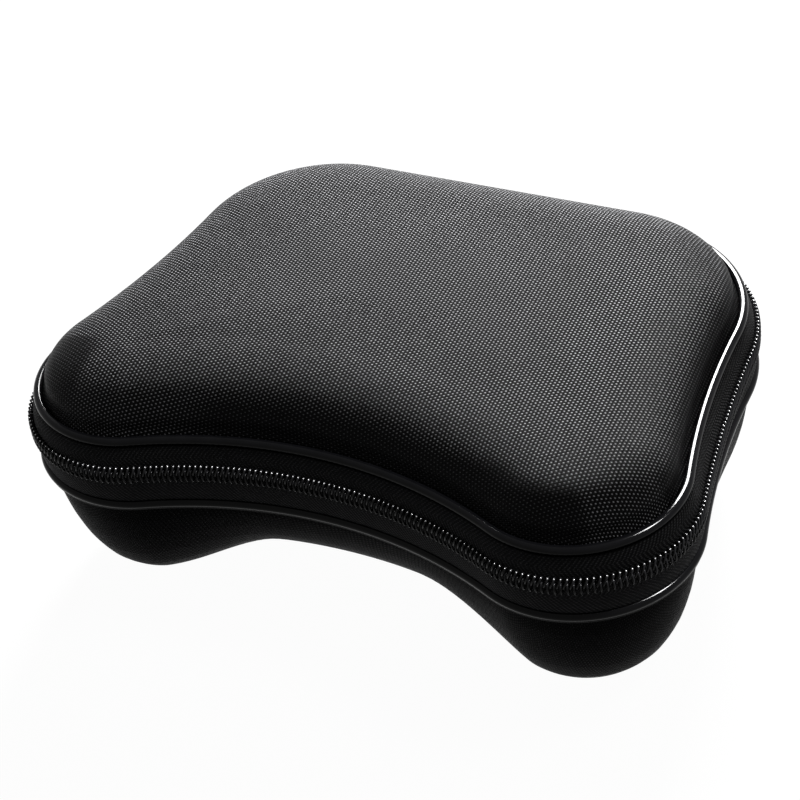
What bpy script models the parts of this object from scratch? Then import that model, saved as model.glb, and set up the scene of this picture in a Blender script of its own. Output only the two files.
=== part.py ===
# Moulded carrying case for a game controller
#
# A soft-sided zipped case: a shallow lid dome and a deeper base bowl, both pressed from
# fabric-faced foam sheet, follow one kidney-shaped outline with two front lobes that
# house the grips. Piping is sewn round each rim, a coil zip closes the band between
# them, and a fabric panel at the back is the hinge.
# Units are metres. +Z is up, the two lobes face -Y, the hinge panel is at +Y.

import math

import bmesh
import bpy
from mathutils import Vector

# Driving sizes, outline at the lid piping
BACK_CENTRE = (0.0389, 0.0219)
BACK_RADIUS = 0.0382
LOBE_CENTRE = (0.0599, -0.0370)
LOBE_RADIUS = 0.0265
WAIST_RADIUS = 0.2280
ZIP_WAIST_RADIUS = 0.3800
NOTCH_DEPTH = 0.0131

# Driving sizes, heights
ZIP_Z = 0.0460
LID_RISE = 0.0218
CROWN = 0.0008
DOME_REACH = 0.0226
DOME_FULLNESS = 0.88
PIPING_RADIUS = 0.0012
LID_PIPING_Z = ZIP_Z + 0.0080
BASE_PIPING_Z = ZIP_Z - 0.0104
BASE_PIPING_GROW = 0.0022
ARCH_RISE = 0.0122
ARCH_TOP_HALF = 0.0200
ARCH_FOOT_HALF = 0.0550
ARCH_FRONT_Y = -0.0480
ARCH_BACK_Y = -0.0060

# Driving sizes, shells
WALL = 0.0035
GAP = 0.0003
SHELL_INSET = PIPING_RADIUS + GAP

# Driving sizes, zip
TAPE_THICK = 0.0008
TAPE_GROW = 0.0021
TAPE_EDGE = 0.0006
TOOTH_PITCH = 0.00143
TOOTH_REACH = 0.0021
TOOTH_POINT = 0.0006
TOOTH_VALLEY = 0.0012
TOOTH_BASE = TAPE_THICK / 2 + GAP
TOOTH_TIP = TOOTH_BASE + 0.0013
TAPE_SHOULDER = 0.0030
PANEL_HALF = 0.0220
SLIDER_LENGTH = 0.0086
SLIDER_TRAVEL = 0.0050
SLIDER_GAP = 0.0012
CHAIN_START_LEFT = PANEL_HALF + SLIDER_GAP + SLIDER_LENGTH + SLIDER_TRAVEL + 0.0004
CHAIN_START_RIGHT = PANEL_HALF + 0.0020
CHAIN_MARGIN = 0.0012

# Driving sizes, inside trim
BINDING_WIDTH = 0.0034
BINDING_THICK = 0.0007
BINDING_INSET = 0.0011

FABRIC = (0.012, 0.012, 0.013)
TAPE = (0.016, 0.016, 0.017)
NYLON = (0.02, 0.02, 0.021)
GLOSS = (0.008, 0.008, 0.009)
LINING = (0.03, 0.03, 0.032)
METAL = (0.05, 0.05, 0.052)


# The blank scene and the collection
for old in list(bpy.data.objects):
    bpy.data.objects.remove(old, do_unlink=True)
CASE = bpy.data.collections.new("controller_carrying_case")
bpy.context.scene.collection.children.link(CASE)
CUTTERS = bpy.data.collections.new("cutters")
bpy.context.scene.collection.children.link(CUTTERS)


def material(name, colour, roughness, metallic=0.0):
    """A Principled material for one sub-part."""
    mat = bpy.data.materials.new(name)
    mat.use_nodes = True
    shader = mat.node_tree.nodes["Principled BSDF"]
    shader.inputs["Base Color"].default_value = (*colour, 1.0)
    shader.inputs["Roughness"].default_value = roughness
    shader.inputs["Metallic"].default_value = metallic
    mat.diffuse_color = (*colour, 1.0)
    return mat


def add(name, mesh, mat, collection=None):
    """Link a mesh as a named object."""
    obj = bpy.data.objects.new(name, mesh)
    (collection or CASE).objects.link(obj)
    mesh.materials.append(mat)
    return obj


def mesh_from(name, bm, smooth=False):
    """Turn a bmesh into mesh data with outward normals."""
    bmesh.ops.recalc_face_normals(bm, faces=bm.faces)
    for face in bm.faces:
        face.smooth = smooth
    mesh = bpy.data.meshes.new(name)
    bm.to_mesh(mesh)
    bm.free()
    return mesh


# The outline: straight back, round back corners, side waist, front lobe, front notch

def arc_points(centre, radius, start, end, count):
    """Points of an arc between two angles, both ends included."""
    step = (end - start) / count
    return [
        (
            centre[0] + radius * math.cos(start + step * i),
            centre[1] + radius * math.sin(start + step * i),
        )
        for i in range(count + 1)
    ]


def notch_circle():
    """Centre and radius of the front notch, which touches both lobes from outside."""
    lobe = Vector(LOBE_CENTRE)
    crown = lobe.y + NOTCH_DEPTH
    centre_y = (crown ** 2 - lobe.length_squared) / (2 * NOTCH_DEPTH)
    return Vector((0.0, centre_y)), crown - LOBE_RADIUS - centre_y


def half_outline(grow, zip_line, density=1):
    """Right half from the back centre round to the front centre, offset outward by grow."""
    corner = Vector(BACK_CENTRE)
    lobe = Vector(LOBE_CENTRE)
    r_corner = BACK_RADIUS + grow
    r_lobe = LOBE_RADIUS + grow
    notch, r_notch = notch_circle()
    r_notch -= grow
    points = []
    back_y = corner.y + r_corner
    count = 4 * density
    points += [(corner.x * i / count, back_y) for i in range(count)]

    # Side: one shallow concave arc touching the corner and the lobe
    r_side = (ZIP_WAIST_RADIUS if zip_line else WAIST_RADIUS) - grow
    span = lobe - corner
    reach_a = r_corner + r_side
    reach_b = r_lobe + r_side
    along = (reach_a ** 2 - reach_b ** 2 + span.length_squared) / (2 * span.length)
    across = math.sqrt(reach_a ** 2 - along ** 2)
    unit = span.normalized()
    waist = corner + unit * along + Vector((-unit.y, unit.x)) * across
    to_corner = math.atan2(waist.y - corner.y, waist.x - corner.x)
    to_lobe = math.atan2(waist.y - lobe.y, waist.x - lobe.x)
    points += arc_points(corner, r_corner, math.pi / 2, to_corner, 9 * density)[:-1]
    points += arc_points(waist, r_side, to_corner + math.pi, to_lobe + math.pi, 5 * density)[:-1]

    # Lobe, then the notch that touches it
    meet = math.atan2(lobe.y - notch.y, lobe.x - notch.x)
    leave = meet - math.pi
    if leave > to_lobe:
        leave -= 2 * math.pi
    points += arc_points(lobe, r_lobe, to_lobe, leave, 11 * density)
    points += arc_points(notch, r_notch, meet, math.pi / 2, 5 * density)[1:]
    return points


def outline(grow, zip_line=False, density=1):
    """Closed outline, clockwise seen from above, starting at the back centre."""
    half = half_outline(grow, zip_line, density)
    return half + [(-x, y) for x, y in half[-2:0:-1]]


# Shells: rings of the outline lofted up the section, then given their thickness

def loft(name, rings, close_point):
    """Open surface through matching rings, closed over at its last ring by a fan."""
    bm = bmesh.new()
    rows = [[bm.verts.new(p) for p in ring] for ring in rings]
    count = len(rows[0])
    for low, high in zip(rows, rows[1:]):
        for i in range(count):
            j = (i + 1) % count
            bm.faces.new((low[i], low[j], high[j], high[i]))
    tip = bm.verts.new(close_point)
    last = rows[-1]
    for i in range(count):
        bm.faces.new((last[i], last[(i + 1) % count], tip))
    return mesh_from(name, bm, smooth=True)


def shrink(ring, centre, factor):
    """Pull a ring toward a spine that keeps part of its width."""
    out = []
    for x, y, z in ring:
        out.append((x * factor, centre[1] + (y - centre[1]) * factor, z))
    return out


def lid_rings():
    """Section of the lid dome, rim first."""
    rings = []
    rim = -SHELL_INSET
    dome_low = LID_PIPING_Z - 0.0002
    dome_high = ZIP_Z + LID_RISE - CROWN
    rings.append([(x, y, LID_PIPING_Z - 0.0014) for x, y in outline(rim)])
    steps = 8
    for k in range(steps + 1):
        turn = math.pi / 2 * k / steps
        grow = rim - DOME_REACH * (1 - max(0.0, math.cos(turn)) ** DOME_FULLNESS)
        z = dome_low + (dome_high - dome_low) * math.sin(turn) ** DOME_FULLNESS
        rings.append([(x, y, z) for x, y in outline(grow)])
    top = rings[-1]
    centre = (0.0, 0.004)
    ring = shrink(top, centre, 0.62)
    rings.append([(x, y, dome_high + CROWN * 0.8) for x, y, z in ring])
    return rings, (0.0, centre[1], dome_high + CROWN)


def smooth_step(value, low, high):
    """Zero at low, one at high, level at both ends."""
    t = min(1.0, max(0.0, (value - low) / (high - low)))
    return t * t * (3 - 2 * t)


def arch(x, y):
    """How far the underside is lifted between the two lobes."""
    across = 1 - smooth_step(abs(x), ARCH_TOP_HALF, ARCH_FOOT_HALF)
    back = 1 - smooth_step(y, ARCH_FRONT_Y, ARCH_BACK_Y)
    return ARCH_RISE * across * back


# Section of the base bowl: offset from the lid piping outline, share of the depth
BASE_SECTION = (
    (0.0005, 0.000),
    (0.0009, 0.090),
    (0.0006, 0.250),
    (-0.0007, 0.440),
    (-0.0027, 0.625),
    (-0.0057, 0.795),
    (-0.0097, 0.915),
    (-0.0143, 0.980),
    (-0.0195, 1.000),
)


def base_rings():
    """Section of the base bowl, rim first."""
    rings = []
    high = BASE_PIPING_Z + 0.0012
    for grow, share in BASE_SECTION:
        ring = []
        for x, y in outline(grow):
            depth = high - arch(x, y)
            ring.append((x, y, high - depth * share))
        rings.append(ring)
    centre = (0.0, 0.006)
    inner = shrink(rings[-1], centre, 0.62)
    rings.append([(x, y, arch(x, y)) for x, y, z in inner])
    return rings, (0.0, centre[1], 0.0)


def shell(name, rings, tip, mat):
    """Foam-backed fabric shell of even wall."""
    obj = add(name, loft(name, rings, tip), mat)
    wall = obj.modifiers.new("wall", "SOLIDIFY")
    wall.thickness = WALL
    wall.offset = -1.0
    wall.use_even_offset = True
    wall.use_rim = True
    return obj


SHELL_MATERIAL = material("ballistic_fabric_black", FABRIC, 0.75)
rings, tip = lid_rings()
shell("lid_shell", rings, tip, SHELL_MATERIAL)
rings, tip = base_rings()
shell("base_shell", rings, tip, SHELL_MATERIAL)


# Piping: a round cord in glossy sheath sewn round each rim

def piping(name, grow, z):
    """Closed round bead that follows the outline."""
    curve = bpy.data.curves.new(name, "CURVE")
    curve.dimensions = "3D"
    curve.bevel_depth = PIPING_RADIUS
    curve.bevel_resolution = 1
    curve.resolution_u = 1
    line = curve.splines.new("POLY")
    points = outline(grow)
    line.points.add(len(points) - 1)
    for point, (x, y) in zip(line.points, points):
        point.co = (x, y, z, 1.0)
    line.use_cyclic_u = True
    obj = bpy.data.objects.new(name, curve)
    CASE.objects.link(obj)
    curve.materials.append(PIPING_MATERIAL)
    return obj


PIPING_MATERIAL = material("piping_gloss_black", GLOSS, 0.18)
piping("lid_piping", 0.0, LID_PIPING_Z)
piping("base_piping", BASE_PIPING_GROW, BASE_PIPING_Z)


# A path along the zip line, measured from the back centre

def path_lengths(points):
    """Running length along a closed line."""
    total = [0.0]
    for (x0, y0), (x1, y1) in zip(points, points[1:] + points[:1]):
        total.append(total[-1] + math.hypot(x1 - x0, y1 - y0))
    return total


def place(points, lengths, distance):
    """Point and unit direction at a distance along the line."""
    low = 0
    high = len(lengths) - 1
    while high - low > 1:
        middle = (low + high) // 2
        if lengths[middle] <= distance:
            low = middle
        else:
            high = middle
    x0, y0 = points[low]
    x1, y1 = points[(low + 1) % len(points)]
    span = lengths[low + 1] - lengths[low]
    share = (distance - lengths[low]) / span
    direction = ((x1 - x0) / span, (y1 - y0) / span)
    return (x0 + (x1 - x0) * share, y0 + (y1 - y0) * share), direction


def cut_outline(grow, start, end, straight):
    """The outline from start round the front to end, both measured on the back straight."""
    points = outline(grow, straight)
    keep = [(start, points[0][1])]
    keep += [p for p in points if not (p[1] > points[0][1] - 1e-7 and -end < p[0] < start + 1e-5)]
    keep += [(-end, points[0][1])]
    return keep


# Zip tapes: one woven strip per side, from the piping down to the zip line

def strip(name, sections, start, end, thick, mat):
    """Open-ended strip through sections of (grow, z, straight), thickened both ways."""
    bm = bmesh.new()
    rows = []
    for grow, z, straight in sections:
        rows.append([bm.verts.new((x, y, z)) for x, y in cut_outline(grow, start, end, straight)])
    for low, high in zip(rows, rows[1:]):
        for i in range(len(low) - 1):
            bm.faces.new((low[i], low[i + 1], high[i + 1], high[i]))
    obj = add(name, mesh_from(name, bm, smooth=True), mat)
    body = obj.modifiers.new("thickness", "SOLIDIFY")
    body.thickness = thick
    body.offset = 0.0
    body.use_even_offset = True
    return obj


def box(bm, low, high):
    """One box between two corners."""
    made = bmesh.ops.create_cube(bm, size=1.0)["verts"]
    for vert in made:
        for axis in range(3):
            middle = (low[axis] + high[axis]) / 2
            vert.co[axis] = middle + vert.co[axis] * (high[axis] - low[axis])
    return made


def box_object(name, low, high, mat, collection=None):
    """A single box as an object."""
    bm = bmesh.new()
    box(bm, low, high)
    return add(name, mesh_from(name, bm), mat, collection)


def combine(target, other, operation):
    """Join another solid to the target, or cut it away."""
    mod = target.modifiers.new(other.name, "BOOLEAN")
    mod.operation = operation
    mod.solver = "EXACT"
    mod.object = other
    other.hide_render = True
    other.display_type = "WIRE"


def join_in(target, other):
    """Union another solid into the target."""
    combine(target, other, "UNION")


TAPE_MATERIAL = material("zip_tape_black", TAPE, 0.85)
TAPE_TOP_Z = LID_PIPING_Z - PIPING_RADIUS - GAP
TAPE_LOW_Z = BASE_PIPING_Z + PIPING_RADIUS + GAP
TAPE_TOP_GROW = 0.0004
strip(
    "lid_zip_tape",
    (
        (TAPE_GROW, ZIP_Z + TAPE_EDGE, True),
        (TAPE_GROW - 0.0002, ZIP_Z + TAPE_SHOULDER, True),
        (TAPE_TOP_GROW, TAPE_TOP_Z, False),
    ),
    PANEL_HALF + GAP,
    CHAIN_START_LEFT,
    TAPE_THICK,
    TAPE_MATERIAL,
)
strip(
    "base_zip_tape",
    (
        (TAPE_GROW, ZIP_Z - TAPE_EDGE, True),
        (TAPE_GROW + 0.0002, ZIP_Z - TAPE_SHOULDER, True),
        (BASE_PIPING_GROW - 0.0002, TAPE_LOW_Z, False),
    ),
    CHAIN_START_RIGHT,
    PANEL_HALF + GAP,
    TAPE_THICK,
    TAPE_MATERIAL,
)


# The lid tape's folded end, which stands clear above the parked slider
PARK_TOP = ZIP_Z + 0.0037
share = (PARK_TOP - ZIP_Z - TAPE_SHOULDER) / (TAPE_TOP_Z - ZIP_Z - TAPE_SHOULDER)
fold_grow = (TAPE_GROW - 0.0002) * (1 - share) + TAPE_TOP_GROW * share
bm = bmesh.new()
rows = []
for grow, z in ((fold_grow, PARK_TOP), (TAPE_TOP_GROW, TAPE_TOP_Z)):
    y = BACK_CENTRE[1] + BACK_RADIUS + grow
    rows.append([bm.verts.new((x, y, z)) for x in (-PANEL_HALF - GAP, -CHAIN_START_LEFT + GAP)])
bm.faces.new((rows[0][0], rows[0][1], rows[1][1], rows[1][0]))
fold = add("lid_tape_end", mesh_from("lid_tape_end", bm, smooth=True), TAPE_MATERIAL)
body = fold.modifiers.new("thickness", "SOLIDIFY")
body.thickness = TAPE_THICK
body.offset = 0.0


# Zip teeth: two interlocked rows of nylon loops, each one moulded run on its tape

def teeth(name, lid_side, mat):
    """One toothed run; its points stand in the valleys of the other run."""
    points = outline(TAPE_GROW, True, 3)
    lengths = path_lengths(points)
    first = CHAIN_START_RIGHT + CHAIN_MARGIN
    last = lengths[-1] - CHAIN_START_LEFT - CHAIN_MARGIN
    groups = int((last - first) / (2 * TOOTH_PITCH))
    side = 1.0 if lid_side else -1.0
    bm = bmesh.new()
    toothed = []
    backs = []
    for k in range(4 * groups + 1):
        centre, direction = place(points, lengths, first + TOOTH_PITCH * k / 2)
        normal = (-direction[1], direction[0])
        is_point = (k % 2 == 0) == lid_side
        z = ZIP_Z + side * (-TOOTH_POINT if is_point else TOOTH_VALLEY)
        if k in (0, 4 * groups):
            z = ZIP_Z + side * TOOTH_VALLEY
        levels = [z] + ([ZIP_Z + side * TOOTH_REACH] if k % 4 == 0 else [])
        for level, row in zip(levels, (toothed, backs)):
            pair = []
            for out in (TOOTH_BASE, TOOTH_TIP):
                pair.append(bm.verts.new((centre[0] + normal[0] * out, centre[1] + normal[1] * out, level)))
            row.append(pair)
    for layer in (0, 1):
        for g in range(groups):
            edge = [toothed[4 * g + i][layer] for i in range(5)]
            here = backs[g][layer]
            there = backs[g + 1][layer]
            bm.faces.new((here, edge[0], edge[1]))
            bm.faces.new((here, edge[1], edge[2]))
            bm.faces.new((here, edge[2], there))
            bm.faces.new((there, edge[2], edge[3]))
            bm.faces.new((there, edge[3], edge[4]))
    for row in (toothed, backs):
        for (a0, a1), (b0, b1) in zip(row, row[1:]):
            bm.faces.new((a0, a1, b1, b0))
    for end in (0, -1):
        bm.faces.new((toothed[end][0], toothed[end][1], backs[end][1], backs[end][0]))
    return add(name, mesh_from(name, bm), mat)


TEETH_MATERIAL = material("zip_teeth_black", NYLON, 0.35)
teeth("lid_zip_teeth", True, TEETH_MATERIAL)
teeth("base_zip_teeth", False, TEETH_MATERIAL)


# Edges of the small hardware

def soften(obj, width, segments=1):
    """Rounded edges."""
    mod = obj.modifiers.new("edges", "BEVEL")
    mod.width = width
    mod.segments = segments
    mod.limit_method = "ANGLE"
    mod.angle_limit = math.radians(40)


# Zip stops: a moulded block at each end of the rows, on the base tape
BACK_Y = BACK_CENTRE[1] + BACK_RADIUS + TAPE_GROW
STOP_MATERIAL = material("zip_stop_black", METAL, 0.4, 0.8)


def stop(name, x_low, x_high):
    """Small clamped block on the outer face of the base tape."""
    obj = box_object(
        name,
        (x_low, BACK_Y + TOOTH_BASE, ZIP_Z - TOOTH_REACH),
        (x_high, BACK_Y + TOOTH_TIP, ZIP_Z - 0.0004),
        STOP_MATERIAL,
    )
    soften(obj, 0.0003)
    return obj


stop("zip_stop_right", CHAIN_START_RIGHT - 0.0010, CHAIN_START_RIGHT + 0.0006)
stop("zip_stop_left", -CHAIN_START_LEFT - 0.0007, -CHAIN_START_LEFT + 0.0001)


# Slider: outer and inner plate, guide flanges, wedge between them and the pull bridge
SLIDER_X1 = -PANEL_HALF - SLIDER_GAP
SLIDER_X0 = SLIDER_X1 - SLIDER_LENGTH
SLIDER_HALF = 0.0032
PLATE = 0.0008
SLOT = TAPE_THICK / 2 + 0.0003
OUTER_IN = TOOTH_TIP + 0.0003
INNER_OUT = SLOT + 0.0003
SLIDER_MATERIAL = material("zip_slider_black_metal", METAL, 0.3, 0.9)

slider = box_object(
    "zip_slider",
    (SLIDER_X0, BACK_Y + OUTER_IN, ZIP_Z - SLIDER_HALF),
    (SLIDER_X1, BACK_Y + OUTER_IN + PLATE, ZIP_Z + SLIDER_HALF),
    SLIDER_MATERIAL,
)
soften(slider, 0.00035, 2)
inner_plate = box_object(
    "slider_inner_plate",
    (SLIDER_X0, BACK_Y - INNER_OUT - PLATE, ZIP_Z - SLIDER_HALF),
    (SLIDER_X1, BACK_Y - INNER_OUT, ZIP_Z + SLIDER_HALF),
    SLIDER_MATERIAL,
    CUTTERS,
)
soften(inner_plate, 0.0003)
join_in(slider, inner_plate)
wedge = box_object(
    "slider_wedge",
    (SLIDER_X0 + 0.0002, BACK_Y - INNER_OUT - PLATE / 2, ZIP_Z + 0.0004),
    (SLIDER_X0 + 0.0030, BACK_Y + OUTER_IN + PLATE / 2, ZIP_Z + 0.0018),
    SLIDER_MATERIAL,
    CUTTERS,
)
join_in(slider, wedge)
for label, z_low, z_high in (
    ("upper", ZIP_Z + SLIDER_HALF - 0.0006, ZIP_Z + SLIDER_HALF - 0.00002),
    ("lower", ZIP_Z - SLIDER_HALF + 0.00002, ZIP_Z - SLIDER_HALF + 0.0006),
):
    flange = box_object(
        "slider_flange_" + label,
        (SLIDER_X0 + 0.0004, BACK_Y + SLOT, z_low),
        (SLIDER_X1 - 0.0004, BACK_Y + OUTER_IN + PLATE / 2, z_high),
        SLIDER_MATERIAL,
        CUTTERS,
    )
    join_in(slider, flange)

# Bridge over the plate that carries the pull
BRIDGE_HALF = 0.0009
BRIDGE_X0 = SLIDER_X0 + 0.0014
BRIDGE_X1 = SLIDER_X1 - 0.0014
BRIDGE_TOP = OUTER_IN + PLATE + 0.0022
for label, x_low, x_high, n_low, n_high in (
    ("leg_a", BRIDGE_X0, BRIDGE_X0 + 0.0009, OUTER_IN + PLATE / 2, BRIDGE_TOP),
    ("leg_b", BRIDGE_X1 - 0.0009, BRIDGE_X1, OUTER_IN + PLATE / 2, BRIDGE_TOP),
    ("bar", BRIDGE_X0 + 0.0002, BRIDGE_X1 - 0.0002, BRIDGE_TOP - 0.0008, BRIDGE_TOP - 0.00002),
):
    piece = box_object(
        "slider_bridge_" + label,
        (x_low, BACK_Y + n_low, ZIP_Z - BRIDGE_HALF),
        (x_high, BACK_Y + n_high, ZIP_Z + BRIDGE_HALF),
        SLIDER_MATERIAL,
        CUTTERS,
    )
    join_in(slider, piece)


# Pull: a flat tab with a cross bar held under the bridge
PULL_PIN = 0.00045
PULL_Y = BACK_Y + OUTER_IN + PLATE + (BRIDGE_TOP - 0.0008 - OUTER_IN - PLATE) / 2
PULL_X = BRIDGE_X1 - 0.0009 - 0.0008
PULL_HALF = 0.0025
PULL_LENGTH = 0.0230

bm = bmesh.new()
pin = bmesh.ops.create_cone(
    bm, cap_ends=True, segments=10, radius1=PULL_PIN, radius2=PULL_PIN, depth=2 * PULL_HALF - 0.0006
)
for vert in pin["verts"]:
    vert.co += Vector((PULL_X, PULL_Y, ZIP_Z))
pull = add("zip_pull", mesh_from("zip_pull", bm), SLIDER_MATERIAL)
PULL_FAR = PULL_X + PULL_LENGTH
for label, x_low, x_high, z_low, z_high in (
    ("arm_a", PULL_X - PULL_PIN, PULL_X + 0.0060, PULL_HALF - 0.0010, PULL_HALF),
    ("arm_b", PULL_X - PULL_PIN, PULL_X + 0.0060, -PULL_HALF, -PULL_HALF + 0.0010),
    ("blade", PULL_X + 0.0050, PULL_FAR, -PULL_HALF + 0.00001, PULL_HALF - 0.00001),
):
    piece = box_object(
        "pull_" + label,
        (x_low, PULL_Y - PULL_PIN - 0.00001, ZIP_Z + z_low),
        (x_high, PULL_Y + PULL_PIN + 0.00001, ZIP_Z + z_high),
        SLIDER_MATERIAL,
        CUTTERS,
    )
    join_in(pull, piece)


# Hinge panel: the fabric strip sewn to both rims at the back
PANEL_THICK = 0.0010
bm = bmesh.new()
rows = []
for grow, z in (
    (BASE_PIPING_GROW - 0.0002, TAPE_LOW_Z),
    (TAPE_GROW + 0.0002, ZIP_Z - TAPE_SHOULDER),
    (TAPE_GROW, ZIP_Z),
    (TAPE_GROW - 0.0002, ZIP_Z + TAPE_SHOULDER),
    (TAPE_TOP_GROW, TAPE_TOP_Z),
):
    y = BACK_CENTRE[1] + BACK_RADIUS + grow
    rows.append([bm.verts.new((PANEL_HALF * side, y, z)) for side in (1.0, 0.5, 0.0, -0.5, -1.0)])
for low, high in zip(rows, rows[1:]):
    for i in range(4):
        bm.faces.new((low[i], low[i + 1], high[i + 1], high[i]))
panel = add("hinge_panel", mesh_from("hinge_panel", bm, smooth=True), material("hinge_fabric_black", FABRIC, 0.8))
body = panel.modifiers.new("thickness", "SOLIDIFY")
body.thickness = PANEL_THICK
body.offset = 0.0


# Binding tapes that cover the raw seam inside each rim

def binding(name, grow, z_low, z_high):
    """Flat closed band inside the rim."""
    bm = bmesh.new()
    rows = [[bm.verts.new((x, y, z)) for x, y in outline(grow)] for z in (z_low, z_high)]
    low, high = rows
    count = len(low)
    for i in range(count):
        j = (i + 1) % count
        bm.faces.new((low[i], low[j], high[j], high[i]))
    obj = add(name, mesh_from(name, bm, smooth=True), BINDING_MATERIAL)
    body = obj.modifiers.new("thickness", "SOLIDIFY")
    body.thickness = BINDING_THICK
    body.offset = 0.0
    return obj


BINDING_MATERIAL = material("binding_tape_black", LINING, 0.85)
LID_RIM_LOW = LID_PIPING_Z - 0.0014
BASE_RIM_HIGH = BASE_PIPING_Z + 0.0012
binding("lid_binding", -SHELL_INSET - BINDING_INSET, LID_RIM_LOW - GAP - BINDING_WIDTH, LID_RIM_LOW - GAP)
binding("base_binding", BASE_SECTION[0][0] - BINDING_INSET, BASE_RIM_HIGH + GAP, BASE_RIM_HIGH + GAP + BINDING_WIDTH)


# Net pocket under the lid ceiling: a flat net sewn in on three sides, elastic in front
NET_Z = ZIP_Z + 0.0128
NET_GROW = -0.0087
NET_FRONT_Y = -0.0260
NET_THICK = 0.0008
ELASTIC_DEPTH = 0.0060
ELASTIC_HALF = 0.0009
bm = bmesh.new()
edge = [p for p in outline(NET_GROW) if p[1] > NET_FRONT_Y + 0.0005]
right = max(i for i, p in enumerate(edge) if p[0] >= 0)
half_width = edge[right][0]
edge = edge[: right + 1] + [(half_width, NET_FRONT_Y), (-half_width, NET_FRONT_Y)] + edge[right + 1:]
bm.faces.new([bm.verts.new((x, y, NET_Z)) for x, y in edge])
net = add("lid_pocket_net", mesh_from("lid_pocket_net", bm), material("net_black", LINING, 0.8))
body = net.modifiers.new("thickness", "SOLIDIFY")
body.thickness = NET_THICK
body.offset = 0.0

elastic = box_object(
    "lid_pocket_elastic",
    (-half_width + 0.0005, NET_FRONT_Y - GAP - ELASTIC_DEPTH, NET_Z - ELASTIC_HALF),
    (half_width - 0.0005, NET_FRONT_Y - GAP, NET_Z + ELASTIC_HALF),
    BINDING_MATERIAL,
)
soften(elastic, 0.0006, 2)
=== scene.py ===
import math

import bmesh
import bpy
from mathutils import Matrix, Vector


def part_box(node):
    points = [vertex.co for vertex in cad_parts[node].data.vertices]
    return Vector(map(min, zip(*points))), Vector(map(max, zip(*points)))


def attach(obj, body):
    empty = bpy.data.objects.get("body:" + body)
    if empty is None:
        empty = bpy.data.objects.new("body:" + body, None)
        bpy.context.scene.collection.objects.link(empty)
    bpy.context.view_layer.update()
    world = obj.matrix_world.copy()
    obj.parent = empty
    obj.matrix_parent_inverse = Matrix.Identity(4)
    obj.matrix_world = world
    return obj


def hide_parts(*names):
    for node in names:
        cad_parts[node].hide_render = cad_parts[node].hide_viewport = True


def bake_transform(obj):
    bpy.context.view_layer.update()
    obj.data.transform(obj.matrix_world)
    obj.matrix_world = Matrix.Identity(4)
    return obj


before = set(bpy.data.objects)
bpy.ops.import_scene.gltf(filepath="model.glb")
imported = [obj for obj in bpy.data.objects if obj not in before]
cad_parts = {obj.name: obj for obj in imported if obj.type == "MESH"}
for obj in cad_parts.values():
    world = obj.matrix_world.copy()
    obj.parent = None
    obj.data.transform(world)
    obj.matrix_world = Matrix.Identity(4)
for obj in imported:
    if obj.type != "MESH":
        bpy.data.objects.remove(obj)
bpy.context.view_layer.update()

# %% [markdown]
# # Controller carrying case
# A moulded case for a game controller: a shallow domed lid and a deep lobed bowl,
# both faced with black ballistic nylon and edged with glossy piping. A coil zip
# closes them all round, and a fabric panel at the back is the hinge.
# Each cell below makes one piece of it, and prints what it made.

# %% [markdown]
# ## Sizes
# The case is drawn from one outline made of arcs: a straight back, round back
# corners, a shallow waist at each side, a lobe at each front corner and a notch
# between them. Every band and shell is that outline moved out or in.

# %% Sizes in metres
BACK_CENTRE, BACK_RADIUS = Vector((0.0389, 0.0219)), 0.0382
LOBE_CENTRE, LOBE_RADIUS = Vector((0.0599, -0.0370)), 0.0265
WAIST_RADIUS, ZIP_WAIST_RADIUS = 0.2280, 0.3800
NOTCH_DEPTH = 0.0131
DOME_FULLNESS = 0.88
ZIP_Z = 0.0460
LID_TOP_Z = ZIP_Z + 0.0218
LID_PIPING_Z, BASE_PIPING_Z = ZIP_Z + 0.0080, ZIP_Z - 0.0104
BASE_PIPING_GROW = 0.0022
PIPING_RADIUS = 0.0012
WALL = 0.0035
TAPE_GROW, TAPE_THICK = 0.0021, 0.0008
TAPE_TOP, TAPE_LOW = LID_PIPING_Z - 0.0014, BASE_PIPING_Z + 0.0012
TOOTH_PITCH, CHAIN_MARGIN = 0.00143, 0.0012
PANEL_HALF, PANEL_LAP, TAPE_CLEAR = 0.0220, 0.0006, 0.0003
CHAIN_RIGHT, CHAIN_LEFT = 0.0240, 0.0372
SLIDER_X0, SLIDER_X1 = -0.0318, -0.0232
BACK_LINE = BACK_CENTRE.y + BACK_RADIUS
BACK_Y = BACK_LINE + TAPE_GROW
print("back of the zip line at y =", round(BACK_Y * 1000, 1), "mm")


# %% The outline that everything follows
def arc(centre, radius, start, end, count):
    """Points of an arc, both ends included."""
    turn = (end - start) / count
    turns = [start + turn * i for i in range(count + 1)]
    return [Vector((centre.x + radius * math.cos(t), centre.y + radius * math.sin(t))) for t in turns]


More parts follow.
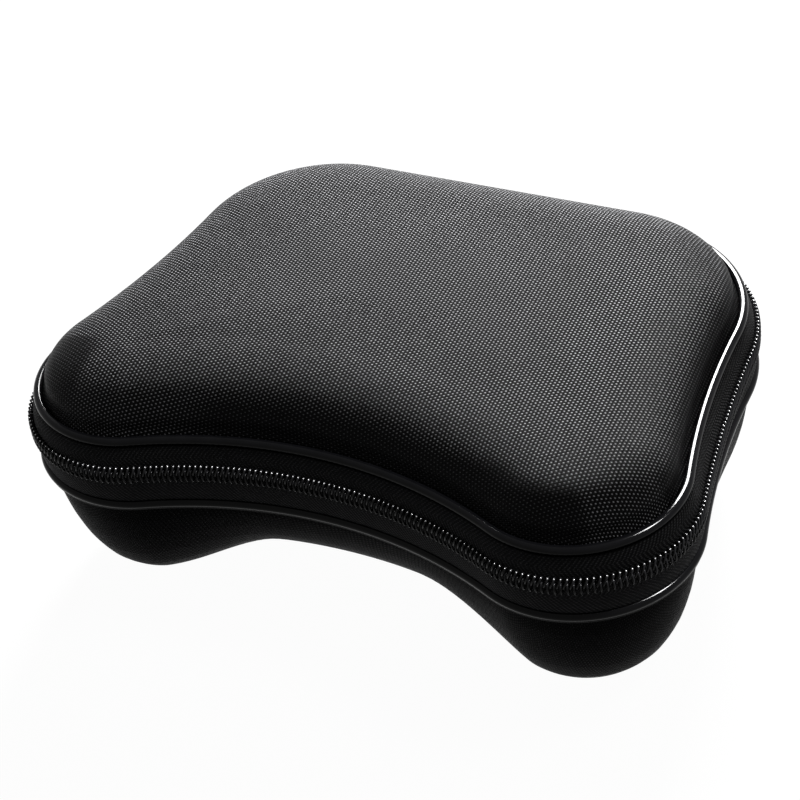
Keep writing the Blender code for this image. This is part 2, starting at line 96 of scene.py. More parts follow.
def outline(grow, zip_line=False, fine=4):
    """Closed outline moved out by grow, clockwise from above, from the back centre."""
    corner, lobe = BACK_CENTRE, LOBE_CENTRE
    crown = lobe.y + NOTCH_DEPTH
    notch = Vector((0.0, (crown ** 2 - lobe.length_squared) / (2 * NOTCH_DEPTH)))
    r_corner, r_lobe = BACK_RADIUS + grow, LOBE_RADIUS + grow
    r_notch = crown - LOBE_RADIUS - notch.y - grow
    r_side = (ZIP_WAIST_RADIUS if zip_line else WAIST_RADIUS) - grow
    span = lobe - corner
    reach_a, reach_b = r_corner + r_side, r_lobe + r_side
    along = (reach_a ** 2 - reach_b ** 2 + span.length_squared) / (2 * span.length)
    unit = span.normalized()
    waist = corner + unit * along + Vector((-unit.y, unit.x)) * math.sqrt(reach_a ** 2 - along ** 2)
    to_corner = math.atan2(waist.y - corner.y, waist.x - corner.x)
    to_lobe = math.atan2(waist.y - lobe.y, waist.x - lobe.x)
    meet = math.atan2(lobe.y - notch.y, lobe.x - notch.x)
    leave = meet - math.pi
    if leave > to_lobe:
        leave -= 2 * math.pi
    half = [Vector((corner.x * i / (4 * fine), corner.y + r_corner)) for i in range(4 * fine)]
    half += arc(corner, r_corner, math.pi / 2, to_corner, 9 * fine)[:-1]
    half += arc(waist, r_side, to_corner + math.pi, to_lobe + math.pi, 5 * fine)[:-1]
    half += arc(lobe, r_lobe, to_lobe, leave, 11 * fine)
    half += arc(notch, r_notch, meet, math.pi / 2, 5 * fine)[1:]
    return half + [Vector((-p.x, p.y)) for p in half[-2:0:-1]]


print("outline of", len(outline(0.0)), "points")


# %% [markdown]
# ## Bands and shells
# A seamstress cuts these pieces flat and a mould or a sewing line gives them their
# section. Here each one starts as an edge loop along the outline, which is extruded
# from one line of its section to the next. The cloth's grain goes into a UV map in
# metres, so every weave keeps its true size.

# %% The loft that makes bands and shells
def line_of(points, z):
    """A line of the section: plan points lifted to one height."""
    return [Vector((p.x, p.y, z)) for p in points]


def points_in(geometry):
    """The points of freshly made geometry."""
    return [g for g in geometry if isinstance(g, bmesh.types.BMVert)]


def edges_among(geometry, known):
    """The edges of freshly extruded geometry whose two ends are both new."""
    return [
        e for e in geometry
        if isinstance(e, bmesh.types.BMEdge) and e.verts[0] in known and e.verts[1] in known
    ]


def loft(name, lines, ring=True, tube=False, cap=False, grain=None):
    """Extrude an edge loop through the lines; ring closes it along, tube closes it round."""
    bm = bmesh.new()
    place = bm.verts.layers.int.new("place")
    row = bm.verts.layers.int.new("row")
    count = len(lines[0])
    verts = []
    for i, point in enumerate(lines[0]):
        vert = bm.verts.new(point)
        vert[place] = i
        verts.append(vert)
    pairs = list(zip(verts, verts[1:])) + ([(verts[-1], verts[0])] if ring else [])
    edges = [bm.edges.new(pair) for pair in pairs]
    first = edges
    for r, line in enumerate(lines[1:], 1):
        made = bmesh.ops.extrude_edge_only(bm, edges=edges)["geom"]
        fresh = points_in(made)
        for vert in fresh:
            vert.co = line[vert[place]]
            vert[row] = r
        edges = edges_among(made, set(fresh))
    if tube:
        bmesh.ops.bridge_loops(bm, edges=first + edges)
    if cap:
        bmesh.ops.contextual_create(bm, geom=edges)
    lengths = [0.0]
    for a, b in zip(lines[0], lines[0][1:] + lines[0][:1]):
        lengths.append(lengths[-1] + (b - a).length)
    widths = [0.0]
    for low, high in zip(lines, lines[1:] + lines[:1]):
        widths.append(widths[-1] + (high[0] - low[0]).length)
    uv = bm.loops.layers.uv.new("grain")
    for face in bm.faces:
        wraps = ring and {v[place] for v in face.verts} >= {0, count - 1}
        closes = tube and {v[row] for v in face.verts} >= {0, len(lines) - 1}
        for loop in face.loops:
            i, r = loop.vert[place], loop.vert[row]
            if grain:
                loop[uv].uv = grain[r][i]
            else:
                u = lengths[count] if wraps and i == 0 else lengths[i]
                v = widths[len(lines)] if closes and r == 0 else widths[r]
                loop[uv].uv = (u, v)
    return finished(name, bm)


def finished(name, bm):
    """Turn worked mesh into an object whose faces look outward."""
    bmesh.ops.recalc_face_normals(bm, faces=bm.faces)
    for face in bm.faces:
        face.smooth = True
    mesh = bpy.data.meshes.new(name)
    bm.to_mesh(mesh)
    bm.free()
    obj = bpy.data.objects.new(name, mesh)
    bpy.context.scene.collection.objects.link(obj)
    return obj


print("loft is ready for bands, tubes and shells")


# %% Thickness and finish of a piece
def thicken(obj, thickness, offset, inner=0):
    """Give a cloth skin its thickness, with another material on its inner face if asked."""
    solid = obj.modifiers.new("thickness", "SOLIDIFY")
    solid.thickness = thickness
    solid.offset = offset
    solid.use_even_offset = True
    solid.material_offset = inner
    solid.material_offset_rim = inner


def dress(obj, body, finish_slot, *materials):
    """Put the finish on a piece and let it move with its body."""
    for mat in materials:
        obj.data.materials.append(mat)
    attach(obj, body)
    print(obj.name, "-", len(obj.data.polygons), "faces, moves with", body)
    return obj


print("thicken and dress are ready")

# %% [markdown]
# ## Ballistic nylon
# The facing is a plain weave of thick black yarn. Each yarn shows as a short round
# float. Their sheen is painted into the colour: floats of one direction are painted
# light at their crowns and the other direction nearly black, which gives the
# staggered light dots of the top. The pattern is worked from the grain map: a
# checker of crossings, a rounded float in each, dark gaps at the corners. Where a
# point of the lid is given painted shade, the floats are darkened.

# %% Small helpers for finishes
def finish(name, roughness, specular):
    """A new finish with its shader; constants sit on the shader's own sockets."""
    mat = bpy.data.materials.new(name)
    mat.use_nodes = True
    shader = mat.node_tree.nodes["Principled BSDF"]
    shader.inputs["Roughness"].default_value = roughness
    shader.inputs["Specular IOR Level"].default_value = specular
    return mat, shader


def feed(mat, socket, value):
    """Link another node's output to an input, or set it to a constant."""
    if isinstance(value, bpy.types.NodeSocket):
        mat.node_tree.links.new(value, socket)
    elif value is not None:
        socket.default_value = value


def node_of(mat, kind, **inputs):
    """A new node of a finish, fed through its named inputs."""
    node = mat.node_tree.nodes.new("ShaderNode" + kind)
    for name, value in inputs.items():
        feed(mat, node.inputs[name], value)
    return node


def calc(mat, operation, a, b=None, c=None, clamp=False):
    """A Math node; each input is a number or another node's output."""
    node = node_of(mat, "Math")
    node.operation = operation
    node.use_clamp = clamp
    for socket, value in zip(node.inputs, (a, b, c)):
        feed(mat, socket, value)
    return node.outputs[0]


def times(mat, a, b, plus=0.0, clamp=False):
    """a times b, plus a third value."""
    return calc(mat, "MULTIPLY_ADD", a, b, plus, clamp)


print("helpers for nodes and sums are ready")


# %% Grain, colour, unevenness and relief of a finish
def grain_of(mat, pitch_u, pitch_v, turned=0.0):
    """The grain map counted in yarns, turned by some degrees."""
    uv = node_of(mat, "UVMap")
    uv.uv_map = "grain"
    turn = node_of(mat, "VectorRotate", Vector=uv.outputs[0], Angle=math.radians(turned))
    turn.rotation_type = "Z_AXIS"
    split = node_of(mat, "SeparateXYZ", Vector=turn.outputs[0])
    return calc(mat, "DIVIDE", split.outputs[0], pitch_u), calc(mat, "DIVIDE", split.outputs[1], pitch_v)


def tint(mat, shader, factor, dark, light):
    """Let the base colour run from dark to light by a factor."""
    mix = node_of(mat, "Mix")
    mix.data_type = "RGBA"
    for name, value in (("Factor", factor), ("A", (*dark, 1.0)), ("B", (*light, 1.0))):
        feed(mat, mix.inputs[name], value)
    feed(mat, shader.inputs["Base Color"], mix.outputs["Result"])


def cloud(mat, scale, detail):
    """Uneven cloth: soft noise over the piece's own place."""
    place = node_of(mat, "TexCoord").outputs["Object"]
    return node_of(mat, "TexNoise", Vector=place, Scale=scale, Detail=detail).outputs["Fac"]


def relief(mat, shader, height, distance, strength):
    """Raise the finish by a height from 0 to 1, distance metres tall."""
    bump = node_of(mat, "Bump", Height=height, Distance=distance, Strength=strength)
    feed(mat, shader.inputs["Normal"], bump.outputs[0])


def uneven_finish(name, roughness, specular, noise, dark, light, depth, strength, ior=1.5):
    """A finish of one tone, whose soft noise (scale and detail) is also its relief."""
    mat, shader = finish(name, roughness, specular)
    shader.inputs["IOR"].default_value = ior
    uneven = cloud(mat, *noise)
    tint(mat, shader, uneven, dark, light)
    relief(mat, shader, uneven, depth, strength)
    return mat


print("helpers for colour and relief are ready")


# %% The nylon facing
def plain_weave(mat, u, v):
    """Height of a plain weave and which direction is on top (0 or 1)."""
    cell = calc(mat, "ADD", calc(mat, "FLOOR", u), calc(mat, "FLOOR", v))
    over = times(mat, calc(mat, "FRACT", times(mat, cell, 0.5)), 2.0)
    a = calc(mat, "SUBTRACT", calc(mat, "FRACT", u), 0.5)
    b = calc(mat, "SUBTRACT", calc(mat, "FRACT", v), 0.5)
    change = calc(mat, "SUBTRACT", b, a)
    across = times(mat, change, over, a)
    along = calc(mat, "SUBTRACT", calc(mat, "ADD", a, b), across)
    round_off = times(mat, times(mat, across, across), -3.6, 1.0)
    crown = times(mat, times(mat, along, along), -2.2, 1.0)
    return times(mat, round_off, crown, clamp=True), over


YARN_LONG, YARN_SHORT = 0.00093, 0.000515


def ballistic_nylon(name, shine, painted_float_tone):
    """Black woven nylon: fat floats one way with painted sheen, thin ones the other, painted nearly black."""
    mat, shader = finish(name, 0.36, shine)
    u, v = grain_of(mat, YARN_LONG, YARN_SHORT, -4.0)
    height, over = plain_weave(mat, u, v)
    uneven = cloud(mat, 45.0, 4.0)
    yarn = cloud(mat, 900.0, 1.0)
    # Painted sheen: floats of one direction are painted light at their crowns, the other direction nearly
    # black.
    bright = times(mat, over, -0.97, 1.0)
    lit = times(mat, calc(mat, "POWER", height, 6.0), bright)
    vary = times(mat, yarn, 1.0, times(mat, uneven, 0.6, 0.2))
    # Painted shade: the floats are darkened by up to 82 percent where the lid is given painted shade.
    painted_shade = node_of(mat, "Attribute")
    painted_shade.attribute_name = "painted_shade"
    kept = times(mat, painted_shade.outputs["Fac"], -0.82, 1.0)
    lit = times(mat, times(mat, lit, vary), kept)
    tint(mat, shader, lit, (0.0008, 0.0008, 0.0009), (painted_float_tone, painted_float_tone, painted_float_tone * 1.04))
    relief(mat, shader, height, 0.00020, 0.7)
    return mat


# One nylon in two copies: the lid's floats are painted light, a painted sheen, and the bowl's about ten times
# darker, a painted shade.
NYLON = ballistic_nylon("nylon_lid_painted_sheen", 0.02, 0.92)
PAINTED_SHADE_NYLON = ballistic_nylon("nylon_bowl_painted_shade", 0.004, 0.09)
print("finishes:", NYLON.name, PAINTED_SHADE_NYLON.name)


# %% [markdown]
# ## Lining
# Inside, the foam is faced with a brushed knit, dull and slightly lighter than the
# outside. It is a fine rib with soft fuzz over it.

# %% The knitted lining
def knit_lining():
    """Dull charcoal knit."""
    mat, shader = finish("lining_charcoal", 0.9, 0.12)
    split = node_of(mat, "SeparateXYZ", Vector=node_of(mat, "TexCoord").outputs["Object"])
    wales = calc(mat, "SINE", times(mat, split.outputs[0], 2 * math.pi / 0.0011))
    courses = calc(mat, "SINE", times(mat, split.outputs[1], 2 * math.pi / 0.0008))
    knit = times(mat, times(mat, wales, courses), 0.25, 0.5)
    fuzz = cloud(mat, 900.0, 2.0)
    height = times(mat, fuzz, 0.5, times(mat, knit, 0.6))
    tint(mat, shader, height, (0.012, 0.012, 0.013), (0.045, 0.045, 0.048))
    shader.inputs["Sheen Weight"].default_value = 0.15
    shader.inputs["Sheen Roughness"].default_value = 0.5
    relief(mat, shader, height, 0.00012, 0.7)
    return mat


LINING = knit_lining()
print("finish:", LINING.name)


# %% [markdown]
# ## The two shells
# Each shell is one sheet of foam laminated with nylon and pressed hot into a mould,
# which gives the big round shoulders. The sheet was flat, so its grain runs straight
# over the top and down the sides. The lid's edge flares a little where it is sewn to
# the piping.

# %% Grain of a pressed sheet
def outward():
    """Unit direction out of the case at each point of the outline."""
    return [(far - near).normalized() for far, near in zip(outline(0.001), outline(0.0))]


def shell_grain(lines):
    """Grain of a pressed sheet: flat in the middle, laid down along each side."""
    out = outward()
    run = [0.0] * len(lines[-1])
    grain = [[Vector((p.x, p.y)) for p in lines[-1]]]
    for r in range(len(lines) - 2, -1, -1):
        here = []
        for i, point in enumerate(lines[r]):
            step = point - lines[r + 1][i]
            run[i] += step.length - math.hypot(step.x, step.y)
            here.append(Vector((point.x, point.y)) + out[i] * run[i])
        grain.insert(0, here)
    return grain


print("walls face", len(outward()), "ways")

# %% Section of the lid
DOME_STEPS, DOME_REACH, CROWN_RISE = 26, 0.0226, 0.0008


def pull_in(line, centre_y, factor, z):
    """A smaller copy of a line, pulled in toward the middle of the case."""
    return [Vector((p.x * factor, centre_y + (p.y - centre_y) * factor, z)) for p in line]


def lid_lines():
    """The dome, from its sewn edge to its crown."""
    rim = -PIPING_RADIUS - 0.0003
    low, high = LID_PIPING_Z - 0.0002, LID_TOP_Z - CROWN_RISE
    lines = [line_of(outline(rim - 0.0002), TAPE_TOP), line_of(outline(rim + 0.0003), LID_PIPING_Z + 0.0002)]
    for k in range(1, DOME_STEPS + 1):
        turn = math.pi / 2 * k / DOME_STEPS
        z = low + (high - low) * math.sin(turn) ** DOME_FULLNESS
        waist = 0.0006 * math.exp(-((z - LID_PIPING_Z - 0.0024) / 0.0014) ** 2)
        drawn_in = DOME_REACH * (1 - max(0.0, math.cos(turn)) ** DOME_FULLNESS)
        lines.append(line_of(outline(rim - drawn_in - waist), z))
    for share in (0.97, 0.90, 0.8, 0.62, 0.4, 0.2):
        lines.append(pull_in(lines[DOME_STEPS + 1], 0.004, share, high + CROWN_RISE * (1 - share ** 2)))
    return lines


dome = lid_lines()
print("lid section of", len(dome), "lines")


# %% Section of the bowl
ARCH_RISE = 0.0122
# Each entry is how far the wall stands out, and its share of the way down.
BOWL_SECTION = (
    (0.0005, 0.0), (0.0009, 0.09), (0.0006, 0.25), (-0.0007, 0.44), (-0.0027, 0.625),
    (-0.0057, 0.795), (-0.0097, 0.915), (-0.0143, 0.98), (-0.0195, 1.0),
)


def ease(value, low, high):
    """0 at low, 1 at high, level at both ends."""
    t = min(1.0, max(0.0, (value - low) / (high - low)))
    return t * t * (3 - 2 * t)


def arch(x, y):
    """How far the underside is lifted between the two lobes."""
    return ARCH_RISE * (1 - ease(abs(x), 0.0200, 0.0550)) * (1 - ease(y, -0.0480, -0.0060))


def on_arch(points):
    """Plan points laid on the underside."""
    return [Vector((p.x, p.y, arch(p.x, p.y))) for p in points]


def bowl_lines():
    """The bowl, from its sewn edge to the middle of its underside."""
    high = BASE_PIPING_Z + PIPING_RADIUS
    lines = []
    for (g0, s0), (g1, s1) in zip(BOWL_SECTION, BOWL_SECTION[1:]):
        for t in (0.0, 0.34, 0.67):
            g, s = g0 + (g1 - g0) * t, s0 + (s1 - s0) * t
            lines.append([Vector((p.x, p.y, high - (high - arch(p.x, p.y)) * s)) for p in outline(g)])
    last = on_arch(outline(BOWL_SECTION[-1][0]))
    lines.append(last)
    for share in (0.95, 0.88, 0.8, 0.7, 0.6, 0.5, 0.4, 0.3, 0.2):
        lines.append(on_arch(pull_in(last, 0.006, share, 0.0)))
    return lines


bowl = bowl_lines()
print("bowl section of", len(bowl), "lines")


# %% Lid
def soften_lining(obj):
    """Take small folds out of the inner skin alone; the outer skin keeps its form."""
    obj.vertex_groups.new(name="lining")
    obj.modifiers["thickness"].shell_vertex_group = "lining"
    soft = obj.modifiers.new("soft_lining", "SMOOTH")
    soft.vertex_group = "lining"
    soft.factor = 0.5
    soft.iterations = 14


lid_cover = loft("lid_cover", dome, cap=True, grain=shell_grain(dome))
thicken(lid_cover, WALL, -1.0, inner=1)
soften_lining(lid_cover)
dress(lid_cover, "lid", "shell_fabric", NYLON, LINING)
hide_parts("lid_shell")


# %% [markdown]
# ## Painted shade on the lid's walls
# Painted shade darkens the colour of the lid's steep walls, so they look plain and dull,
# and the back right shoulder a little, while the round front of each lobe keeps its
# lively weave. The crown keeps it too, with a little painted shade towards its front.
# The amount is a number at each point of the lid, eased in along the wall.

# %% How much painted shade the lid's cloth gets, from 0 to 1
def painted_shade_at(x, y, height, facing):
    """Share of painted shade at a place; height runs 0 to 1 up the wall, facing points out of it."""
    left_end = ease(-x, 0.030, 0.060) * ease(-facing.x, 0.10, 0.70) * ease(-facing.y, 0.0, 0.40)
    right_front = ease(x, 0.030, 0.050) * ease(-facing.y, 0.80, 0.92)
    reach = 0.44 + 0.42 * left_end - 0.08 * ease(facing.x, 0.35, 0.65) + 0.18 * right_front
    skirt = 1 - ease(height, reach - 0.11, reach + 0.11)
    left_round = ease(-x, 0.026, 0.044) * ease(-facing.y, 0.85, 0.93) * ease(facing.x, -0.45, -0.10)
    right_round = ease(facing.x, 0.42, 0.60) * ease(-facing.y, 0.08, 0.35)
    skirt *= 1 - max(0.75 * left_round, 0.92 * right_round)
    back_right = ease(facing.y, 0.15, 0.45) * ease(facing.x, 0.30, 0.70)
    shoulder = 0.40 * back_right * (1 - ease(height, 0.60, 0.84))
    crown = 0.30 * ease(-y, -0.030, 0.050)
    return max(crown, shoulder, skirt)


# Each point of the lid gets its share of painted shade as a point attribute.
out = outward()
places, rows = lid_cover.data.attributes["place"].data, lid_cover.data.attributes["row"].data
shares = []
for vert in lid_cover.data.vertices:
    height = (rows[vert.index].value - 1) / DOME_STEPS
    shares.append(painted_shade_at(vert.co.x, vert.co.y, height, out[places[vert.index].value]))
lid_cover.data.attributes.new("painted_shade", "FLOAT", "POINT").data.foreach_set("value", shares)
# Counts the points of the lid with more than half painted shade.
print("cloth drawn tight at", sum(share > 0.5 for share in shares), "points of", lid_cover.name)

# %% Bowl
base_cover = loft("base_cover", bowl, cap=True, grain=shell_grain(bowl))
round_over = base_cover.modifiers.new("round_over", "SMOOTH")
round_over.factor = 0.5
round_over.iterations = 6
thicken(base_cover, WALL, -1.0, inner=1)
dress(base_cover, "base", "shell_fabric", PAINTED_SHADE_NYLON, LINING)
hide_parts("base_shell")


# %% [markdown]
# ## Piping
# The piping is a cord sheathed in glossy vinyl, sewn into the seam by a thin flange.
# The bead shines along one clear line, and a narrow lip of the sheath shows below it.

# %% Glossy vinyl
def wave(mat, value, length):
    """A smooth wave from 0 to 1 along a value, one crest per length."""
    turn = calc(mat, "SINE", times(mat, value, 2 * math.pi / length))
    return times(mat, turn, 0.5, 0.5)


def glossy_vinyl():
    """Black vinyl with a wet shine and a faint ripple from the cord inside."""
    mat, shader = finish("vinyl_gloss", 0.12, 0.05)
    along, _ = grain_of(mat, 0.0012, 0.0012)
    uneven = cloud(mat, 220.0, 3.0)
    height = times(mat, wave(mat, along, 2.2), 0.25, uneven)
    tint(mat, shader, uneven, (0.0004, 0.0004, 0.0005), (0.0012, 0.0012, 0.0014))
    relief(mat, shader, height, 0.00003, 0.4)
    return mat


VINYL = glossy_vinyl()
print("finish:", VINYL.name)

# %% The two cords
SEWN_LIP = (
    (-0.0012, -0.00125), (-0.0020, -0.00128), (-0.0020, -0.00155), (0.0005, -0.00152), (0.00075, -0.00138),
)


def bead(turn):
    """A point of the bead's round section, by its angle in degrees up from outside."""
    return Vector((math.cos(math.radians(turn)), math.sin(math.radians(turn)))) * PIPING_RADIUS


def piping_lines(grow, z):
    """Section of the sheathed cord: a bead pressed a little flat inside its top, and a lip."""
    section = [bead(turn) for turn in (-58, -38, -18, 2, 22, 40, 56, 68, 77)]
    section += [bead(80).lerp(bead(108), share) for share in (0.0, 0.12, 0.5, 0.88, 1.0)]
    section += [bead(turn) for turn in (111, 122, 138, 156, 174, 192, 210, 232)]
    return [line_of(outline(grow + g), z + h) for g, h in [*section, *SEWN_LIP]]


lid_cord = loft("lid_cord", piping_lines(0.0, LID_PIPING_Z), tube=True)
dress(lid_cord, "lid", "piping", VINYL)
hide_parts("lid_piping")
base_cord = loft("base_cord", piping_lines(BASE_PIPING_GROW, BASE_PIPING_Z), tube=True)
dress(base_cord, "base", "piping", VINYL)
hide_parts("base_piping")


# %% [markdown]
# ## Zip tapes
# The tapes are polyester twill, woven in a herringbone: fine slanting ribs that turn
# at the middle of the tape. They bow out a little between the piping and the zip.

# %% Herringbone tape
def herringbone_tape():
    """Matt black twill with slanting ribs."""
    mat, shader = finish("tape_twill", 0.7, 0.04)
    u, v = grain_of(mat, 0.0011, 0.0011)
    turn_back = calc(mat, "ABSOLUTE", calc(mat, "SUBTRACT", v, 3.1))
    rib = wave(mat, times(mat, turn_back, 0.9, u), 1.0)
    crossed = times(mat, rib, wave(mat, v, 1 / 2.4))
    height = times(mat, crossed, 0.6, times(mat, rib, 0.4))
    worn = times(mat, cloud(mat, 500.0, 2.0), 0.8, 0.6)
    lit = times(mat, calc(mat, "POWER", height, 2.0), worn)
    tint(mat, shader, lit, (0.0015, 0.0015, 0.0017), (0.110, 0.110, 0.113))
    relief(mat, shader, height, 0.00014, 0.7)
    return mat


TWILL = herringbone_tape()
print("finish:", TWILL.name)

# %% The two tapes
# Each entry of a section is grow, height and whether it follows the zip line.
LID_TAPE = (
    (TAPE_GROW, ZIP_Z + 0.0007, True), (TAPE_GROW + 0.0001, ZIP_Z + 0.0018, True),
    (TAPE_GROW - 0.0001, ZIP_Z + 0.0030, True), (0.0016, ZIP_Z + 0.0044, False),
    (0.0009, ZIP_Z + 0.0058, False), (0.0001, TAPE_TOP, False), (-0.0009, TAPE_TOP + 0.0001, False),
)
BASE_TAPE = (
    (TAPE_GROW, ZIP_Z - 0.0007, True), (TAPE_GROW + 0.0001, ZIP_Z - 0.0018, True),
    (TAPE_GROW + 0.0003, ZIP_Z - 0.0034, True), (BASE_PIPING_GROW + 0.0003, ZIP_Z - 0.0056, False),
    (BASE_PIPING_GROW + 0.0002, ZIP_Z - 0.0078, False), (BASE_PIPING_GROW - 0.0002, TAPE_LOW, False),
    (BASE_PIPING_GROW - 0.0010, TAPE_LOW - 0.0002, False),
)


def open_outline(grow, start, end, zip_line):
    """The outline from x = start on the back, round the front, to x = -end on the back."""
    points = outline(grow, zip_line)
    back = points[0].y
    kept = [p for p in points if not (p.y > back - 1e-7 and -end < p.x < start + 1e-5)]
    return [Vector((start, back))] + kept + [Vector((-end, back))]


def tape(name, section, end):
    """An open band from the panel's right end round the front to x = -end on the back."""
    start = PANEL_HALF + TAPE_CLEAR
    lines = [line_of(open_outline(grow, start, end, on_zip), z) for grow, z, on_zip in section]
    return loft(name, lines, ring=False)


lid_tape = tape("lid_tape", LID_TAPE, CHAIN_LEFT)
thicken(lid_tape, TAPE_THICK, 0.0)
dress(lid_tape, "lid", "zip_tape", TWILL)
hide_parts("lid_zip_tape")
base_tape = tape("base_tape", BASE_TAPE, PANEL_HALF + TAPE_CLEAR)
thicken(base_tape, TAPE_THICK, 0.0)
dress(base_tape, "base", "zip_tape", TWILL)
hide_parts("base_zip_tape")

# %% [markdown]
# ## Where the slider is parked
# The slider stands beside the hinge panel, past the last loop of the lid's coil. The
# lid's tape ends there in a fold above it, and a thin cloth flap lies behind it.

# %% Folded end of the lid's tape, over the parked slider
FOLD_START, FOLD_LENGTH = TAPE_CLEAR - CHAIN_LEFT, 0.0149


def back_strip(name, section):
    """A straight strip across the back; each entry of the section is grow and height."""
    across = [FOLD_START + FOLD_LENGTH * k / 12 for k in range(13)]
    return loft(name, [[Vector((x, BACK_LINE + grow, z)) for x in across] for grow, z in section], ring=False)


fold_section = (
    (0.0014, ZIP_Z + 0.0038), (0.0016, ZIP_Z + 0.0039), (0.0015, ZIP_Z + 0.0048),
    (0.0009, ZIP_Z + 0.0058), (0.0001, TAPE_TOP), (-0.0009, TAPE_TOP + 0.0001),
)
fold_end = back_strip("tape_fold", fold_section)
thicken(fold_end, TAPE_THICK, 0.0)
dress(fold_end, "lid", "zip_tape", TWILL)
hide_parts("lid_tape_end")

# %% Cloth flap behind the slider, so that no gap shows beside it
flap_section = (
    (-0.0005, ZIP_Z - 0.0004), (-0.0006, ZIP_Z + 0.0010), (-0.0005, ZIP_Z + 0.0026),
    (0.0001, ZIP_Z + 0.0042), (0.0009, ZIP_Z + 0.0050),
)
flap = back_strip("slider_flap", flap_section)
thicken(flap, 0.0004, 0.0)
dress(flap, "base", "zip_tape", TWILL)


# %% [markdown]
# ## Zip coil
# The teeth are one nylon filament per side, wound into loops. Each loop comes round
# its heel on the tape, crosses to its head in the middle and goes back inside, and
# the heads of the two sides stand between each other. One loop is swept once and
# copied along the zip line at the spacing that such zips have. The case's size comes
# from that spacing and the teeth counted in the photograph.

# %% Nylon filament, smooth and semi-gloss
COIL = uneven_finish(
    "coil_nylon", 0.22, 0.05, (700.0, 2.0), (0.0018, 0.0018, 0.002), (0.0065, 0.0065, 0.007), 0.00004, 0.4,
)
print("finish:", COIL.name)


# %% Places along the zip
def path_places(points, first, last, pitch):
    """Evenly spaced places along a closed line, each a point and its direction."""
    lengths = [0.0]
    for a, b in zip(points, points[1:] + points[:1]):
        lengths.append(lengths[-1] + (b - a).length)
    total, places, k = lengths[-1], [], 0
    distance = first
    while distance <= total - last:
        while lengths[k + 1] < distance:
            k += 1
        a, b = points[k], points[(k + 1) % len(points)]
        share = (distance - lengths[k]) / (lengths[k + 1] - lengths[k])
        places.append((a.lerp(b, share), (b - a).normalized()))
        distance += pitch
    return places


def loop_places(shift, left_end):
    """Where one side's loops stand on the zip line, up to x = -left_end on the back."""
    zip_line = outline(TAPE_GROW, True, 6)
    return path_places(zip_line, CHAIN_RIGHT + CHAIN_MARGIN + shift, left_end + CHAIN_MARGIN, TOOTH_PITCH)


lid_loops, base_loops = loop_places(0.0, CHAIN_LEFT), loop_places(TOOTH_PITCH / 2, PANEL_HALF)
print("loops on lid and base:", len(lid_loops), len(base_loops))

# %% One loop and the two rows
WIRE_RADIUS, WIRE_SIDES = 0.00029, 6
LOOP_TRACK = (
    (-0.00085, 0.00072, 0.00205), (-0.00092, 0.00118, 0.00235), (-0.00080, 0.00160, 0.00205),
    (-0.00035, 0.00172, 0.00100), (0.00010, 0.00165, -0.00010), (0.00018, 0.00130, -0.00055),
    (0.00018, 0.00085, -0.00045), (-0.00025, 0.00062, 0.00070),
)


def coil_loop(bm, side):
    """One loop at the origin: X along the zip, Y out of the case, Z up."""
    slant = 1.0 if side > 0 else 0.15
    track = [Vector((x * slant, n, z * side)) for x, n, z in LOOP_TRACK]
    made = bmesh.ops.create_circle(bm, segments=WIRE_SIDES, radius=WIRE_RADIUS)["verts"]
    edges = list({e for v in made for e in v.link_edges})
    lead = edges
    previous = None
    for k in range(len(track)):
        ahead = (track[(k + 1) % len(track)] - track[k - 1]).normalized()
        across = Vector((1, 0, 0)) - ahead * ahead.x
        across.normalize()
        up = ahead.cross(across)
        if k:
            grown = bmesh.ops.extrude_edge_only(bm, edges=edges)["geom"]
            made = points_in(grown)
            edges = edges_among(grown, set(made))
        for vert in made:
            if previous is None:
                local = vert.co.copy()
            else:
                offset = vert.co - previous[0]
                local = Vector((offset.dot(previous[1]), offset.dot(previous[2]), 0.0))
            vert.co = track[k] + across * local.x + up * local.y
        previous = (track[k], across, up)
    bmesh.ops.bridge_loops(bm, edges=lead + edges)


def placed(x_axis, y_axis, z_axis, at):
    """A placing from its three axes and its place."""
    return Matrix((*zip(x_axis, y_axis, z_axis, at), (0.0, 0.0, 0.0, 1.0)))


def coil_row(name, side, body, node, places):
    """All the loops of one side."""
    bm = bmesh.new()
    coil_loop(bm, side)
    pattern = bm.verts[:] + bm.edges[:] + bm.faces[:]
    for point, ahead in places:
        out = Vector((-ahead.y, ahead.x, 0.0))
        placing = placed(ahead.to_3d(), out, (0.0, 0.0, 1.0), (*point, ZIP_Z))
        copy = bmesh.ops.duplicate(bm, geom=pattern)["geom"]
        bmesh.ops.transform(bm, matrix=placing, verts=points_in(copy))
    bmesh.ops.delete(bm, geom=points_in(pattern), context="VERTS")
    row = finished(name, bm)
    dress(row, body, "zip_teeth", COIL)
    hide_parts(node)
    return row


lid_coil = coil_row("lid_coil", 1.0, "lid", "lid_zip_teeth", lid_loops)
base_coil = coil_row("base_coil", -1.0, "base", "base_zip_teeth", base_loops)

# %% [markdown]
# ## Coil stitching
# Each loop is held to its tape by one stitch of shiny sewing thread over its heel.
# Their thread is painted light grey, a painted highlight for the glint on each heel, so
# from above the lid's row of stitches shows as a line of bright points. The rows of
# stitches end with the lid's coil, so the base's last loops, at the slider, have none.

# %% Thread and the stitches over the heels
def sewing_thread(name, dark, light):
    """Tightly spun polyester thread with a bright shine."""
    return uneven_finish(name, 0.3, 0.9, (1500.0, 1.0), dark, light, 0.00003, 0.5, ior=1.7)


